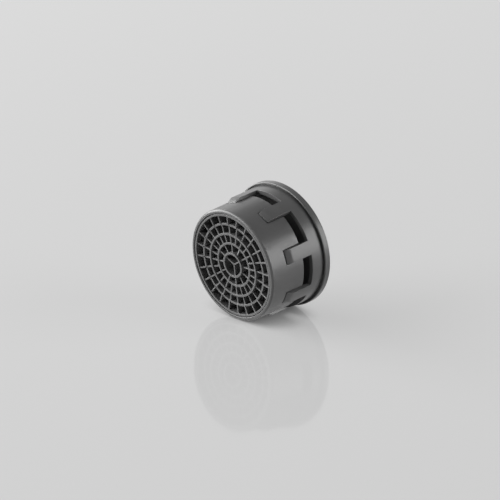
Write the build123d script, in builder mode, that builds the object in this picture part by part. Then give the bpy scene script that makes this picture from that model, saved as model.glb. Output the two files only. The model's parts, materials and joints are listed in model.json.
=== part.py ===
from build123d import *

import os
from math import degrees, hypot

os.makedirs("parts", exist_ok=True)

# A tap aerator insert, in millimetres. The axis is Z, the outlet rim stands on Z = 0 and the inlet is on top.

# Inlet housing: flange with a relief groove in its underside, band, and ledge inside
band_radius = 10.2
band_wall = 0.75
band_height = 2.4
flange_overhang = 0.5
flange_thickness = 1.25
flange_seat_edge = 0.1
flange_face_edge = 0.2
groove_width = 0.25
groove_depth = 0.3
ledge_rise = 0.6
ledge_width = 0.5
ledge_height = 0.5

# Snap legs
leg_count = 8
leg_width = 2.4
leg_length = 4.9
leg_proud = 0.5
leg_bevel_length = 1.15
leg_tip_thickness = 0.2
barb_width = 1.5
barb_depth = 0.25
barb_height = 0.5
barb_tip_distance = 0.25

# Outlet cup, and the air window that stays open above it
cup_height = 6.9
cup_wall = 0.6
cup_taper = 0.18
cup_rim_edge = 0.25
lip_width = 0.2
lip_height = 0.9
air_window_height = 1.5

# Snap beads that hold the strainer in the housing and the screen ring in the cup
bead_depth = 0.1
bead_height = 0.3
bead_edge_distance = 0.5
bead_inlet_distance = 0.25

# Clearances: between nested pieces, round the legs, and at the joint line round the grille
fit_gap = 0.05
leg_gap = 0.15
joint_gap = 0.1

# Outlet grille: evenly spaced rings from the outside in, each set back from the rim by its own amount
ring_setbacks = (0.1, 0.38, 0.26, 0.45, 0.21)
ring_width = 0.36
hub_radius = 2.0
spoke_width = 0.26
outer_spoke_setback = 0.25
spoke_setback = 0.45
hub_spoke_setback = 0.55
spoke_count = 24
hub_spoke_count = 12
hub_arm_count = 3
hub_arm_turn = 30
grille_turn = -1.7

# Screens and the rings that hold them
screen_thickness = 0.3
screen_gap = 1.5
screen_pitch = 2.0
screen_border = 0.7
screen_turn = 45
spacer_height = 1.2
screen_ring_height = 1.1

# Jet splitter
splitter_plate = 1.0
splitter_wall = 0.65
jet_length = 1.5
jet_width = 0.8
jet_count = 20
jet_wall_distance = 2.4
jet_spreader_distance = 0.6
spreader_height = 0.6
spreader_tip_radius = 1.5

# Inlet strainer
strainer_rim_width = 2.0
strainer_rim_height = 0.7
strainer_wall = 0.5
strainer_height = 2.2
strainer_top_edge = 0.25
strainer_slot_count = 24
strainer_slot_width = 1.0
strainer_slot_border = 0.4
strainer_gap = 1.2
strainer_pitch = 1.8

# Levels of the housing
band_bottom = cup_height + air_window_height
ledge_bottom = band_bottom + ledge_rise
ledge_top = ledge_bottom + ledge_height
flange_bottom = band_bottom + band_height
groove_top = flange_bottom + groove_depth
flange_top = flange_bottom + flange_thickness
leg_tip = band_bottom - leg_length
barb_bottom = leg_tip + barb_tip_distance
barb_top = barb_bottom + barb_height

# Levels of the stack in the cup, from the bead down to the grille
screen_ring_top = cup_height - bead_edge_distance - bead_height
screen_ring_bottom = screen_ring_top - screen_ring_height
upper_screen_bottom = screen_ring_bottom - screen_thickness
spacer_bottom = upper_screen_bottom - spacer_height
lower_screen_bottom = spacer_bottom - screen_thickness
grille_top = lower_screen_bottom

# Levels of the splitter and strainer in the housing
splitter_top = ledge_top + splitter_plate
strainer_rim_top = flange_top - bead_inlet_distance - bead_height
strainer_bottom = strainer_rim_top - strainer_rim_height
strainer_top = strainer_rim_top + strainer_height

# Radii from the band inwards
flange_radius = band_radius + flange_overhang
groove_radius = band_radius + groove_width
housing_bore_radius = band_radius - band_wall
ledge_bore_radius = housing_bore_radius - ledge_width
core_radius = housing_bore_radius - fit_gap
tip_radius = housing_bore_radius + leg_tip_thickness
barb_radius = housing_bore_radius - barb_depth
slot_floor_radius = housing_bore_radius - fit_gap
cup_top_radius = band_radius - leg_proud
cup_foot_radius = cup_top_radius - cup_taper
cup_bore_radius = cup_top_radius - cup_wall
lip_bore_radius = cup_bore_radius - lip_width
stack_radius = cup_bore_radius - fit_gap
stack_bore_radius = stack_radius - screen_border
outer_ring_radius = lip_bore_radius - joint_gap - ring_width / 2
strainer_radius = core_radius - strainer_rim_width
strainer_bore_radius = strainer_radius - strainer_wall

# Angles round the axis, in degrees
gap_angle = degrees(leg_gap / band_radius)
leg_angle = degrees(leg_width / band_radius)
slot_angle = leg_angle + 2 * gap_angle
barb_angle = degrees(barb_width / band_radius)
latch_angle = barb_angle + 2 * gap_angle


def mesh_gaps(pitch, gap, reach):
    """Centres of the square gaps of a mesh that lie whole within this radius."""
    steps = [pitch * step for step in range(-int(reach / pitch), int(reach / pitch) + 1)]
    return [(x, y) for x in steps for y in steps if hypot(abs(x) + gap / 2, abs(y) + gap / 2) < reach]


def sector(angle, inner, outer, bottom, top):
    """Part of a ring, from one radius and level to another, that spans this angle about X."""
    with BuildPart() as ring_sector:
        with BuildSketch(Plane.XZ.rotated((0, 0, -angle / 2))):
            with BuildLine():
                Polyline((inner, bottom), (outer, bottom), (outer, top), (inner, top), close=True)
            make_face()
        revolve(axis=Axis.Z, revolution_arc=angle)
    return ring_sector.part


# The space between two legs, the slot that takes a leg, and the latch window behind its barb
leg_space = sector(360 / leg_count - leg_angle, ledge_bore_radius, flange_radius, leg_tip, band_bottom)
leg_slot = sector(slot_angle, slot_floor_radius, flange_radius, leg_tip - leg_gap, band_bottom)
latch_window = sector(latch_angle, stack_bore_radius, flange_radius, barb_bottom - leg_gap, barb_top)

# The barb inside a leg tip: a ramp below and a flat catch on top
with BuildPart() as leg_barb:
    with BuildSketch(Plane.XZ.rotated((0, 0, -barb_angle / 2))):
        with BuildLine():
            Polyline(
                (tip_radius, barb_bottom),
                (housing_bore_radius, barb_bottom),
                (barb_radius, barb_top),
                (tip_radius, barb_top),
                close=True,
            )
        make_face()
    revolve(axis=Axis.Z, revolution_arc=barb_angle)

# Inlet housing: grooved flange, band with its ledge, and the ring of legs with bevelled tips
with BuildPart() as inlet_housing:
    with BuildSketch(Plane.XZ):
        with BuildLine():
            Polyline(
                (housing_bore_radius, leg_tip),
                (tip_radius, leg_tip),
                (band_radius, leg_tip + leg_bevel_length),
                (band_radius, groove_top),
                (groove_radius, groove_top),
                (groove_radius, flange_bottom),
                (flange_radius, flange_bottom),
                (flange_radius, flange_top),
                (housing_bore_radius, flange_top),
                (housing_bore_radius, strainer_rim_top + bead_height),
                (housing_bore_radius - bead_depth, strainer_rim_top + bead_height / 2),
                (housing_bore_radius, strainer_rim_top),
                (housing_bore_radius, ledge_top),
                (ledge_bore_radius, ledge_top),
                (ledge_bore_radius, ledge_bottom),
                (housing_bore_radius, ledge_bottom),
                close=True,
            )
        make_face()
    revolve(axis=Axis.Z)
    rim_edges = inlet_housing.edges().filter_by(GeomType.CIRCLE).sort_by(SortBy.RADIUS)[-2:]
    seat_edge, face_edge = rim_edges.sort_by(Axis.Z)
    chamfer(seat_edge, flange_seat_edge)
    chamfer(face_edge, flange_face_edge)
    with PolarLocations(0, leg_count, start_angle=180 / leg_count):
        add(leg_space, mode=Mode.SUBTRACT)
    with PolarLocations(0, leg_count):
        add(leg_barb.part)

# Outlet cup: tapered sleeve with a lip at the rim and a bead over the screen ring
with BuildPart() as outlet_cup:
    with BuildSketch(Plane.XZ):
        with BuildLine():
            Polyline(
                (lip_bore_radius, 0),
                (cup_foot_radius, 0),
                (cup_top_radius, cup_height),
                (cup_bore_radius, cup_height),
                (cup_bore_radius, screen_ring_top + bead_height),
                (cup_bore_radius - bead_depth, screen_ring_top + bead_height / 2),
                (cup_bore_radius, screen_ring_top),
                (cup_bore_radius, lip_height),
                (lip_bore_radius, lip_height),
                close=True,
            )
        make_face()
    revolve(axis=Axis.Z)
    rim_edges = outlet_cup.edges().filter_by(GeomType.CIRCLE).group_by(Axis.Z)[0]
    chamfer(rim_edges.sort_by(SortBy.RADIUS)[-1], cup_rim_edge)
    with PolarLocations(0, leg_count):
        add(leg_slot, mode=Mode.SUBTRACT)
        add(latch_window, mode=Mode.SUBTRACT)

# Outlet grille: rings at staggered levels, tied by spokes that lie deeper towards the hub
ring_pitch = (outer_ring_radius - hub_radius) / (len(ring_setbacks) - 1)
ring_radii = [outer_ring_radius - ring_pitch * ring for ring in range(len(ring_setbacks))]
spoke_bands = (
    (ring_radii[1], outer_ring_radius, spoke_count, 0, outer_spoke_setback),
    (ring_radii[-2], ring_radii[1], spoke_count, 0, spoke_setback),
    (hub_radius, ring_radii[-2], hub_spoke_count, 0, hub_spoke_setback),
    (0, hub_radius, hub_arm_count, hub_arm_turn, hub_spoke_setback),
)
with BuildPart() as outlet_grille:
    for ring_radius, setback in zip(ring_radii, ring_setbacks):
        with BuildSketch(Plane.XY.offset(setback)):
            Circle(ring_radius + ring_width / 2)
            Circle(ring_radius - ring_width / 2, mode=Mode.SUBTRACT)
        extrude(amount=grille_top - setback)
    # The shoulder that rests on the lip of the cup
    with BuildSketch(Plane.XY.offset(lip_height)):
        Circle(stack_radius)
        Circle(outer_ring_radius, mode=Mode.SUBTRACT)
    extrude(amount=grille_top - lip_height)
    for inner, outer, count, turn, setback in spoke_bands:
        with BuildSketch(Plane.XY.offset(setback)):
            with PolarLocations((inner + outer) / 2, count, start_angle=grille_turn + turn):
                Rectangle(outer - inner, spoke_width)
        extrude(amount=grille_top - setback)

# Mesh discs, the upper one turned against the lower one
screens = {}
for name, bottom, turn in (
    ("lower_screen", lower_screen_bottom, 0),
    ("upper_screen", upper_screen_bottom, screen_turn),
):
    with BuildPart() as screens[name]:
        with BuildSketch(Plane.XY.offset(bottom).rotated((0, 0, turn))):
            Circle(stack_radius)
            with Locations(*mesh_gaps(screen_pitch, screen_gap, stack_bore_radius)):
                Rectangle(screen_gap, screen_gap, mode=Mode.SUBTRACT)
        extrude(amount=screen_thickness)

# The rings above each mesh disc
rings = {}
for name, bottom, height in (
    ("screen_spacer", spacer_bottom, spacer_height),
    ("screen_ring", screen_ring_bottom, screen_ring_height),
):
    with BuildPart() as rings[name]:
        with BuildSketch(Plane.XY.offset(bottom)):
            Circle(stack_radius)
            Circle(stack_bore_radius, mode=Mode.SUBTRACT)
        extrude(amount=height)

# Jet splitter: plate with a ring of slit jets, an upstanding wall and a cone that spreads the water
splitter_bore_radius = core_radius - splitter_wall
jet_row_radius = splitter_bore_radius - jet_wall_distance - jet_length / 2
spreader_radius = jet_row_radius - jet_length / 2 - jet_spreader_distance
with BuildPart() as jet_splitter:
    with BuildSketch(Plane.XZ):
        with BuildLine():
            Polyline(
                (0, ledge_top),
                (core_radius, ledge_top),
                (core_radius, strainer_bottom),
                (splitter_bore_radius, strainer_bottom),
                (splitter_bore_radius, splitter_top),
                (spreader_radius, splitter_top),
                (spreader_tip_radius, splitter_top + spreader_height),
                (0, splitter_top + spreader_height),
                close=True,
            )
        make_face()
    revolve(axis=Axis.Z)
    with BuildSketch(Plane.XY.offset(ledge_top)):
        with PolarLocations(jet_row_radius, jet_count):
            Rectangle(jet_length, jet_width)
    extrude(amount=splitter_plate, mode=Mode.SUBTRACT)

# Inlet strainer: a basket with a rim, slots cut clear through its wall and a mesh top
slot_bottom = strainer_rim_top + strainer_slot_border
slot_top = strainer_top - strainer_wall - strainer_slot_border
with BuildPart() as inlet_strainer:
    with BuildSketch(Plane.XZ):
        with BuildLine():
            Polyline(
                (strainer_bore_radius, strainer_bottom),
                (core_radius, strainer_bottom),
                (core_radius, strainer_rim_top),
                (strainer_radius, strainer_rim_top),
                (strainer_radius, strainer_top),
                (0, strainer_top),
                (0, strainer_top - strainer_wall),
                (strainer_bore_radius, strainer_top - strainer_wall),
                close=True,
            )
        make_face()
    revolve(axis=Axis.Z)
    top_edge = inlet_strainer.edges().filter_by(GeomType.CIRCLE).group_by(Axis.Z)[-1]
    chamfer(top_edge, strainer_top_edge)
    with BuildSketch(Plane.XY.offset(slot_bottom)):
        with PolarLocations(strainer_radius - strainer_wall / 2, strainer_slot_count):
            Rectangle(2 * strainer_wall, strainer_slot_width)
    extrude(amount=slot_top - slot_bottom, mode=Mode.SUBTRACT)
    with BuildSketch(Plane.XY.offset(strainer_top)):
        with Locations(*mesh_gaps(strainer_pitch, strainer_gap, strainer_bore_radius)):
            Rectangle(strainer_gap, strainer_gap)
    extrude(amount=-strainer_wall, mode=Mode.SUBTRACT)

pieces = {
    "inlet_housing": inlet_housing,
    "outlet_cup": outlet_cup,
    "outlet_grille": outlet_grille,
    **screens,
    **rings,
    "jet_splitter": jet_splitter,
    "inlet_strainer": inlet_strainer,
}
for name, piece in pieces.items():
    piece.part.label = name
    export_step(piece.part, f"parts/{name}.step")
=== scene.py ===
import json
from math import cos, pi, radians, sin, sqrt

import bmesh
import bpy
from mathutils import Matrix, Vector


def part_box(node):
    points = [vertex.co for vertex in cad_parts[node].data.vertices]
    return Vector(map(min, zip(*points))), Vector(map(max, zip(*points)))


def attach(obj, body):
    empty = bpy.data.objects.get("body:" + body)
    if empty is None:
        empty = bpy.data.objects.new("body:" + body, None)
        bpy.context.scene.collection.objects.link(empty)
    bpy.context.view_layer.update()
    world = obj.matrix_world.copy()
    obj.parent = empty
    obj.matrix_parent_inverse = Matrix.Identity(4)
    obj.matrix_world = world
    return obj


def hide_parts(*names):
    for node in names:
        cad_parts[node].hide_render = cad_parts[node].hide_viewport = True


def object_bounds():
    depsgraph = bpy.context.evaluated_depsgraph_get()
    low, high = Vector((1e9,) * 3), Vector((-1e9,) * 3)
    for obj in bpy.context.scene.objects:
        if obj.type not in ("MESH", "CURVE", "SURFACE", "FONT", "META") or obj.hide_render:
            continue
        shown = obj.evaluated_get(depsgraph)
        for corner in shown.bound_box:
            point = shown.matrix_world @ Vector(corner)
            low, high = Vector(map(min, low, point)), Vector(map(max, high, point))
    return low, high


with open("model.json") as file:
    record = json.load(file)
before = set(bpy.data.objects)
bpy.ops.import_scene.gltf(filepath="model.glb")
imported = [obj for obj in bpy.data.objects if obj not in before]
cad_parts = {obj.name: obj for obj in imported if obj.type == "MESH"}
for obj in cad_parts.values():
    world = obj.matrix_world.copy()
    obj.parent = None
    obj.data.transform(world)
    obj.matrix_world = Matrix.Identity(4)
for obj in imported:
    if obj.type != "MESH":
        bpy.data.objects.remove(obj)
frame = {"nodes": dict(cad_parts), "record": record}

cad_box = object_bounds()
mm = 0.001
axis = Vector((0, 0, 1))

# How the insert lies: the side that faces up, and the rise of its axis from outlet to inlet
lie_turn = radians(-29.45)
lie_rise = radians(6.2)

# Camera: its turn from the insert's axis, its rise from the floor, and the point that it looks at
view_turn = radians(46.47)
view_rise = radians(18.855)
view_distance = 371 * mm
view_aim = Vector((2.904, 0.45, 2.678)) * mm
focal_length = 165.6
sensor_width = 36
nearest_seen = 0.01
farthest_seen = 20

# Floor: a pale polished sheet, part of whose tone is a glow that thins the shadow
floor_size = 6.0
floor_grey = 0.6
floor_contrast = 0.015
floor_patch_size = 0.25
floor_glow = 0.645
floor_glow_share = 0.7
floor_roughness = 0.06
floor_ior = 1.2

# Painted contact shadow, darkening the floor's glow near the insert: its reach, its darkest grey, and
# how open to the sky the floor is where it ends
contact_reach = 10 * mm
painted_contact_grey = 0.05
open_floor = 0.6

# World: the light from all round, and the backdrop that is seen
world_grey = 0.1
backdrop_grey = 0.5

# Softboxes: degrees clockwise from the far side and up from the floor, width, height, brightness
softbox_distance = 0.7
softboxes = {
    "left": (280, 22, 1.0, 0.5, 7.5),
    "right": (98, 16, 0.5, 0.4, 4.8),
    "back": (355, 22, 0.9, 0.4, 0.65),
    "under": (350, -50, 0.6, 0.6, 3.0),
}

# Plastics: the grey and roughness of each slot, then mottle, patches of unlike gloss and grain
plastics = {
    "body_plastic": (0.095, 0.31),
    "grille_plastic": (0.106, 0.33),
    # The inner plastic's near-black grey is painted shade: it stands in for the shade deep in the
    # windows and cells
    "inner_plastic": (0.04, 0.45),
    "strainer_plastic": (0.09, 0.36),
}
mottle_size = 3.5 * mm
mottle_contrast = 0.05
gloss_size = 0.5 * mm
gloss_spread = 0.03
grain_size = 0.25 * mm
grain_depth = 0.006 * mm
grain_strength = 0.3
plastic_ior = 1.48

# Steel of the wires, with darker and lighter patches
steel_dark_grey = 0.4
steel_light_grey = 0.55
steel_roughness = 0.35
steel_spread = 0.08
steel_patch_size = 0.8 * mm

# Softened edges of the moulded pieces
edge_widths = {"inlet_housing": 0.07 * mm, "outlet_cup": 0.09 * mm}
other_edge_width = 0.05 * mm
edge_segments = 3
edge_angle = radians(32)
weld_distance = 0.001 * mm
flat_angle = radians(0.5)
large_face_weight = 100

# Woven screens: the turn of each, the pitch of its wires, and a wire's sides and steps in a pitch
screen_turns = {"lower_screen": 0, "upper_screen": radians(45)}
wire_pitch = 0.62 * mm
wire_sides = 6
wire_steps = 4


def new_material(name):
    """A material with its nodes, links and shader, and the object's own coordinates."""
    material = bpy.data.materials.new(name)
    material.use_nodes = True
    nodes = material.node_tree.nodes
    coordinates = nodes.new("ShaderNodeTexCoord").outputs["Object"]
    return material, nodes, material.node_tree.links, nodes["Principled BSDF"], coordinates


def noise(nodes, links, coordinates, size):
    """Noise whose lumps are about this size."""
    texture = nodes.new("ShaderNodeTexNoise")
    texture.inputs["Scale"].default_value = 1 / size
    links.new(coordinates, texture.inputs["Vector"])
    return texture.outputs["Fac"]


def ramp(nodes, links, factor, low, high, low_at=0.3, high_at=0.7):
    """Greys from low to high where the factor goes from low_at to high_at."""
    node = nodes.new("ShaderNodeValToRGB")
    first, last = node.color_ramp.elements
    first.position, last.position = low_at, high_at
    first.color, last.color = (low, low, low, 1), (high, high, high, 1)
    links.new(factor, node.inputs["Fac"])
    return node.outputs["Color"]


def mix(nodes, links, factor, first, second):
    """Goes from the first shader to the second as the factor goes from zero to one."""
    node = nodes.new("ShaderNodeMixShader")
    links.new(factor, node.inputs["Fac"])
    links.new(first, node.inputs[1])
    links.new(second, node.inputs[2])
    return node.outputs["Shader"]


def moulded_plastic(name, grey, roughness):
    """Satin moulded plastic: a fine eroded grain, patches of unlike gloss and a faint mottle."""
    material, nodes, links, shader, coordinates = new_material(name)
    mottle = noise(nodes, links, coordinates, mottle_size)
    colour = ramp(nodes, links, mottle, grey * (1 - mottle_contrast), grey * (1 + mottle_contrast))
    links.new(colour, shader.inputs["Base Color"])
    patches = noise(nodes, links, coordinates, gloss_size)
    gloss = ramp(nodes, links, patches, roughness - gloss_spread, roughness + gloss_spread)
    links.new(gloss, shader.inputs["Roughness"])
    bump = nodes.new("ShaderNodeBump")
    bump.inputs["Distance"].default_value = grain_depth
    bump.inputs["Strength"].default_value = grain_strength
    links.new(noise(nodes, links, coordinates, grain_size), bump.inputs["Height"])
    links.new(bump.outputs["Normal"], shader.inputs["Normal"])
    shader.inputs["IOR"].default_value = plastic_ior
    return material


def wire_steel(name):
    """Drawn stainless wire with a slightly uneven shine."""
    material, nodes, links, shader, coordinates = new_material(name)
    patches = noise(nodes, links, coordinates, steel_patch_size)
    colour = ramp(nodes, links, patches, steel_dark_grey, steel_light_grey)
    links.new(colour, shader.inputs["Base Color"])
    gloss = ramp(nodes, links, patches, steel_roughness - steel_spread, steel_roughness + steel_spread)
    links.new(gloss, shader.inputs["Roughness"])
    shader.inputs["Metallic"].default_value = 1.0
    return material


def soften_edges(piece, width):
    """Joins the flat stretches of a piece and rounds its sharp edges."""
    weld = piece.modifiers.new("weld", "WELD")
    weld.merge_threshold = weld_distance
    flats = piece.modifiers.new("flats", "DECIMATE")
    flats.decimate_type = "DISSOLVE"
    flats.angle_limit = flat_angle
    bevel = piece.modifiers.new("soft_edges", "BEVEL")
    bevel.width = width
    bevel.segments = edge_segments
    bevel.limit_method = "ANGLE"
    bevel.angle_limit = edge_angle
    bevel.use_clamp_overlap = False
    bevel.loop_slide = False
    shading = piece.modifiers.new("even_shading", "WEIGHTED_NORMAL")
    shading.weight = large_face_weight
    shading.keep_sharp = False


def add_wire(mesh, path, across, radius):
    """A round wire along a path, with closed ends."""
    rings = []
    for place in path:
        ring = []
        for side in range(wire_sides):
            turn = 2 * pi * side / wire_sides
            ring.append(mesh.verts.new(place + radius * (cos(turn) * across + sin(turn) * axis)))
        rings.append(ring)
    for ring, following in zip(rings, rings[1:]):
        for side in range(wire_sides):
            after = (side + 1) % wire_sides
            mesh.faces.new((ring[side], ring[after], following[after], following[side])).smooth = True
    mesh.faces.new(rings[0])
    mesh.faces.new(rings[-1])


def add_screen(node, turn, finish):
    """A round plain-woven wire mesh, two wires thick, that fills the space of a screen's disc."""
    low, high = (Vector(corner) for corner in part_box(node))
    centre = (low + high) / 2
    wire_width = (high.z - low.z) / 2
    wire_radius = wire_width / 2
    mesh_radius = (high.x - low.x) / 2 - wire_radius
    first = Vector((cos(turn), sin(turn), 0))
    second = axis.cross(first)
    weave = bmesh.new()
    outermost = int(mesh_radius / wire_pitch)
    for index in range(-outermost, outermost + 1):
        offset = index * wire_pitch
        half = sqrt(mesh_radius ** 2 - offset ** 2)
        steps = max(wire_steps, round(2 * half / wire_pitch * wire_steps))
        for side, forward, across in ((1, first, second), (-1, second, first)):
            path = []
            for step in range(steps + 1):
                run = half * (2 * step / steps - 1)
                lift = side * (-1) ** index * wire_radius * cos(pi * run / wire_pitch)
                path.append(centre + run * forward + offset * across + lift * axis)
            add_wire(weave, path, across, wire_radius)
    bmesh.ops.recalc_face_normals(weave, faces=weave.faces)
    data = bpy.data.meshes.new("woven_" + node)
    weave.to_mesh(data)
    weave.free()
    data.materials.append(finish)
    piece = bpy.data.objects.new("woven_" + node, data)
    bpy.context.scene.collection.objects.link(piece)
    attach(piece, "root")
    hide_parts(node)


# The pieces: a finish for each slot of the record, soft edges on the mouldings, and the screens
finishes = {slot: moulded_plastic(slot, *look) for slot, look in plastics.items()}
finishes["screen_steel"] = wire_steel("screen_steel")
for subpart in frame["record"]["subparts"]:
    piece = frame["nodes"][subpart["node"]]
    piece.data.materials.clear()
    piece.data.materials.append(finishes[subpart["material_slot"]])
    if subpart["node"] not in screen_turns:
        soften_edges(piece, edge_widths.get(subpart["node"], other_edge_width))
for screen, turn in screen_turns.items():
    add_screen(screen, turn, finishes["screen_steel"])

# Directions of the stage: up from the floor, and the camera's away and right along the floor
floor_up = Vector((cos(lie_turn) * cos(lie_rise), sin(lie_turn) * cos(lie_rise), sin(lie_rise)))
along = (axis - axis.dot(floor_up) * floor_up).normalized()
away = Matrix.Rotation(view_turn, 3, floor_up) @ along
right = away.cross(floor_up)

# The spot on the floor under the middle of the insert, which touches the floor at its lowest point
vertices = [vertex.co for node in frame["nodes"].values() for vertex in node.data.vertices]
lowest = min(floor_up.dot(vertex) for vertex in vertices)
middle = (cad_box[0] + cad_box[1]) / 2
ground = middle + (lowest - floor_up.dot(middle)) * floor_up


def stand(place, back, upward):
    """The matrix of an object at a place, with its Z along back and its Y leaning towards upward."""
    side = upward.cross(back).normalized()
    turn = Matrix((side, back.cross(side), back)).transposed()
    return Matrix.Translation(place) @ turn.to_4x4()


def seen_rays(nodes, links):
    """One where the camera, a reflection or glass looks, and zero where light is gathered."""
    rays = nodes.new("ShaderNodeLightPath")
    seen = rays.outputs["Is Camera Ray"]
    for kind in ("Is Glossy Ray", "Is Transmission Ray"):
        either = nodes.new("ShaderNodeMath")
        either.operation = "MAXIMUM"
        links.new(seen, either.inputs[0])
        links.new(rays.outputs[kind], either.inputs[1])
        seen = either.outputs["Value"]
    return seen


def floor_material():
    """Pale polished sheet with a painted contact shadow in its glow where the insert touches it, and
    clear from below.
    """
    material, nodes, links, shader, coordinates = new_material("stage_floor")
    patches = noise(nodes, links, coordinates, floor_patch_size)
    darker, lighter = floor_grey * (1 - floor_contrast), floor_grey * (1 + floor_contrast)
    links.new(ramp(nodes, links, patches, darker, lighter), shader.inputs["Base Color"])
    shader.inputs["Roughness"].default_value = 1.0
    shader.inputs["Specular IOR Level"].default_value = 0.0
    # Painted contact shadow: the glow goes from its darkest grey to full where the floor is open to
    # the sky
    contact = nodes.new("ShaderNodeAmbientOcclusion")
    contact.inputs["Distance"].default_value = contact_reach
    glow = nodes.new("ShaderNodeEmission")
    shade = ramp(nodes, links, contact.outputs["AO"], painted_contact_grey, floor_glow, 0, open_floor)
    links.new(shade, glow.inputs["Color"])
    share = nodes.new("ShaderNodeMath")
    share.operation = "MULTIPLY"
    share.inputs[1].default_value = floor_glow_share
    links.new(seen_rays(nodes, links), share.inputs[0])
    sheet = mix(nodes, links, share.outputs["Value"], shader.outputs["BSDF"], glow.outputs["Emission"])
    polish = nodes.new("ShaderNodeBsdfGlossy")
    polish.inputs["Roughness"].default_value = floor_roughness
    shine = nodes.new("ShaderNodeFresnel")
    shine.inputs["IOR"].default_value = floor_ior
    polished = mix(nodes, links, shine.outputs["Fac"], sheet, polish.outputs["BSDF"])
    backside = nodes.new("ShaderNodeNewGeometry").outputs["Backfacing"]
    clear = nodes.new("ShaderNodeBsdfTransparent").outputs["BSDF"]
    links.new(mix(nodes, links, backside, polished, clear), nodes["Material Output"].inputs["Surface"])
    return material


def add_floor():
    """The floor under the insert, which casts no shadow, so that light from below passes."""
    bpy.ops.mesh.primitive_plane_add(size=floor_size)
    floor = bpy.context.object
    floor.name = "floor"
    floor.matrix_world = stand(ground, floor_up, away)
    floor.data.materials.append(floor_material())
    floor.visible_shadow = False


def add_softbox(name, turn, rise, width, height, brightness):
    """A soft rectangular lamp that faces the insert, with its turn and rise in degrees."""
    level = sin(radians(turn)) * right + cos(radians(turn)) * away
    place = ground + softbox_distance * (cos(radians(rise)) * level + sin(radians(rise)) * floor_up)
    data = bpy.data.lights.new(name, "AREA")
    data.shape = "RECTANGLE"
    data.size = width
    data.size_y = height
    data.energy = brightness * pi * width * height
    lamp = bpy.data.objects.new(name, data)
    bpy.context.scene.collection.objects.link(lamp)
    lamp.matrix_world = stand(place, (place - middle).normalized(), floor_up)


def add_camera():
    """The camera, level with the floor from side to side."""
    data = bpy.data.cameras.new("camera")
    data.lens = focal_length
    data.sensor_width = sensor_width
    data.clip_start = nearest_seen
    data.clip_end = farthest_seen
    camera = bpy.data.objects.new("camera", data)
    bpy.context.scene.collection.objects.link(camera)
    back = sin(view_rise) * floor_up - cos(view_rise) * away
    camera.matrix_world = stand(view_aim + view_distance * back, back, floor_up)
    bpy.context.scene.camera = camera


def set_world():
    """Dim light from all round, behind a pale backdrop."""
    world = bpy.data.worlds.new("studio")
    world.use_nodes = True
    nodes, links = world.node_tree.nodes, world.node_tree.links
    dim = nodes["Background"]
    dim.inputs["Color"].default_value = (world_grey, world_grey, world_grey, 1)
    pale = nodes.new("ShaderNodeBackground")
    pale.inputs["Color"].default_value = (backdrop_grey, backdrop_grey, backdrop_grey, 1)
    seen = seen_rays(nodes, links)
    both = mix(nodes, links, seen, dim.outputs["Background"], pale.outputs["Background"])
    links.new(both, nodes["World Output"].inputs["Surface"])
    bpy.context.scene.world = world


add_floor()
add_camera()
set_world()
for name, softbox in softboxes.items():
    add_softbox(name, *softbox)
bpy.context.scene.view_settings.view_transform = "Standard"
